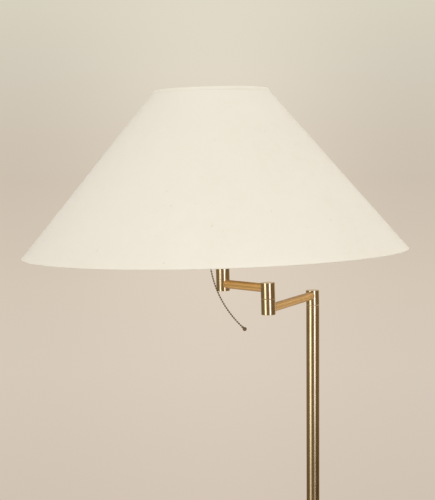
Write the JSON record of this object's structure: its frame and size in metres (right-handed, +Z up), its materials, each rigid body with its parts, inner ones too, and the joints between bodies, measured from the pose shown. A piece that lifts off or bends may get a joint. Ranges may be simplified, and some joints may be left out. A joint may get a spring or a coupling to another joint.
{
  "type": "swing-arm floor lamp",
  "caption": "Free-standing brass floor lamp with a weighted round foot, a post, two swivelling arms, a cone shade on a harp and a pull-chain socket.",
  "frame": {"origin": "on the floor, under the middle of the post, at the felt's underside", "axes": "+Z up along the post, +Y away from the viewer, +X to the viewer's right"},
  "size_m": [0.5164, 0.509, 1.4053],
  "materials": {
    "polished_brass": "polished",
    "satin_brass": "satin",
    "socket_brass": "bright dipped",
    "raw_brass": "turned",
    "aged_brass": "tarnished",
    "plated_steel": "zinc plated",
    "iron": "as cast",
    "felt": "felt",
    "shade_laminate": "matt fabric-faced laminate",
    "moulding": "moulded",
    "fibre": "pressed fibre",
    "bulb_glass": "frosted",
    "bulb_metal": "plain"
  },
  "bodies": {
    "stand": {"base_felt": "felt", "base_weight": "iron", "base_cover": "polished_brass", "cord_gland": "moulding", "tie_pipe": "raw_brass", "tie_washer": "plated_steel", "tie_nut": "plated_steel", "post_collar": "polished_brass", "post_foot_bush": "raw_brass", "post_tube": "polished_brass", "head_pivot": "polished_brass", "head_stop_pin": "plated_steel", "head_spring_washer": "plated_steel", "head_nut": "raw_brass"},
    "lower_arm": {"head_knuckle": "polished_brass", "head_plug": "polished_brass", "lower_arm_tube": "satin_brass", "elbow_lower_knuckle": "polished_brass", "elbow_lower_plug": "polished_brass", "elbow_pivot": "raw_brass", "elbow_stop_pin": "plated_steel", "elbow_friction_washer": "fibre", "elbow_spring_washer": "plated_steel", "elbow_nut": "raw_brass"},
    "upper_arm": {"elbow_upper_knuckle": "polished_brass", "elbow_upper_plug": "polished_brass", "upper_arm_tube": "satin_brass", "end_knuckle": "polished_brass", "end_plug": "polished_brass", "socket_pipe": "raw_brass", "harp_saddle": "raw_brass", "harp_ferrules": "socket_brass", "harp_wire_frame": "raw_brass", "harp_stud": "socket_brass", "socket_cap": "socket_brass", "socket_shell": "socket_brass", "socket_liner": "fibre", "switch_body": "moulding", "screw_shell": "socket_brass", "centre_contact": "socket_brass", "chain_guide": "socket_brass", "bulb_cap": "bulb_metal", "bulb_glass": "bulb_glass", "shade_cover": "shade_laminate", "shade_top_ring": "plated_steel", "shade_bottom_ring": "plated_steel", "shade_fitter": "plated_steel", "finial": "polished_brass"},
    "pull": {"pull_chain": "aged_brass", "pull_ball": "aged_brass"}
  },
  "joints": [
    {"name": "head_swivel", "type": "hinge", "parent": "stand", "child": "lower_arm", "pos_m": [0, 0, 1.11], "axis": [-0.0225, -0.0133, 0.9997], "range_deg": [-165, 165]},
    {"name": "elbow_swivel", "type": "hinge", "parent": "lower_arm", "child": "upper_arm", "pos_m": [-0.06745, -0.13983, 1.11963], "axis": [-0.0225, -0.0133, 0.9997], "range_deg": [-33.6, 266.4]},
    {"name": "chain_pull", "type": "slide", "parent": "upper_arm", "child": "pull", "axis": [0.0225, 0.0133, -0.9997], "range_m": [0, 0.008], "stiffness_N_per_m": 200, "springref_m": -0.004}
  ]
}
